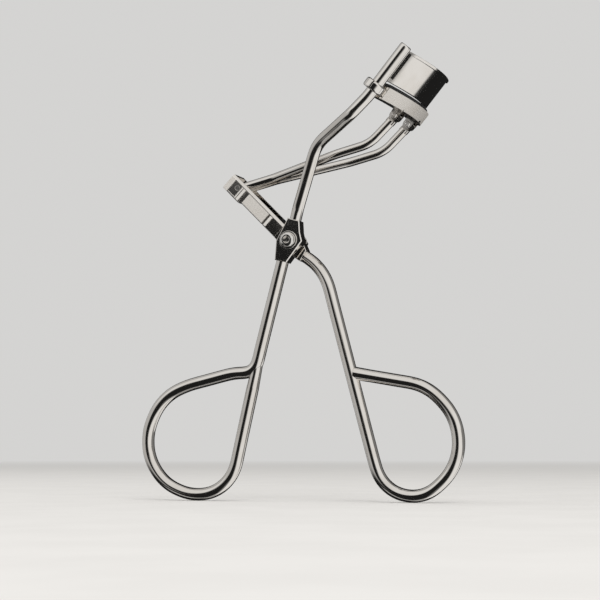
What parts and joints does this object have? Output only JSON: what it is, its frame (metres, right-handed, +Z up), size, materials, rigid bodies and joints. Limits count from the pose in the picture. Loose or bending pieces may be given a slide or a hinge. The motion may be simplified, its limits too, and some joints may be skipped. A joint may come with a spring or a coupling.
{
  "type": "eyelash curler",
  "caption": "Scissor-action eyelash curler of polished wire: finger loops, pivot plates, lever and push yoke that slide a padded curved jaw up a rail to a fixed curved jaw.",
  "frame": {"origin": "centre of the base of the bounding box, under the two finger loops", "axes": "+Z up from the finger loops to the jaws, +X from the left loop to the right loop, +Y along the pivot axis, away from the side that carries the screw head and the upright"},
  "size_m": [0.078, 0.034, 0.1],
  "materials": {
    "polished_nickel": "polished warm nickel plate",
    "braze_metal": "plated braze bead, slightly softer polish",
    "steel_hardware": "plated turned hardware",
    "silicone": "smooth matte silicone rubber"
  },
  "bodies": {
    "frame": {"left_handle": "polished_nickel", "left_loop_weld": "braze_metal", "frame_wire": "polished_nickel", "front_pivot_plate": "polished_nickel", "pivot_screw": "steel_hardware", "front_washer": "steel_hardware", "spacer_washer": "steel_hardware", "rear_washer": "steel_hardware", "pivot_nut": "steel_hardware", "upper_jaw": "polished_nickel", "upper_jaw_braze": "braze_metal"},
    "lever": {"right_handle": "polished_nickel", "right_loop_weld": "braze_metal", "rear_pivot_plate": "polished_nickel", "lever_channel": "polished_nickel", "yoke_hinge_pin": "steel_hardware"},
    "yoke": {"yoke_barrel": "polished_nickel", "yoke_near_wire": "polished_nickel", "yoke_far_wire": "polished_nickel"},
    "moving_jaw": {"lower_jaw": "polished_nickel", "silicone_pad": "silicone", "guide_collar": "polished_nickel", "collar_tab": "braze_metal", "near_lug": "polished_nickel", "far_lug": "polished_nickel", "near_lug_pin": "steel_hardware", "far_lug_pin": "steel_hardware"}
  },
  "joints": [
    {"name": "main_pivot", "type": "hinge", "parent": "frame", "child": "lever", "pos_m": [-0.00114, -0.00093, 0.05975], "axis": [0, 1, 0], "range_deg": [-16, 1]},
    {"name": "yoke_hinge", "type": "hinge", "parent": "lever", "child": "yoke", "pos_m": [-0.01574, 0.00227, 0.07358], "axis": [0, 1, 0], "range_deg": [-1.2, 15.8]},
    {"name": "jaw_slide", "type": "slide", "parent": "frame", "child": "moving_jaw", "axis": [0.6494, 0, 0.7604], "range_m": [-0.0055, 0.0004]}
  ],
  "couplings": [
    {"joint": "yoke_hinge", "follows": "main_pivot", "ratio": -0.965},
    {"joint": "jaw_slide", "follows": "main_pivot", "m_per_rad": 0.01918}
  ]
}
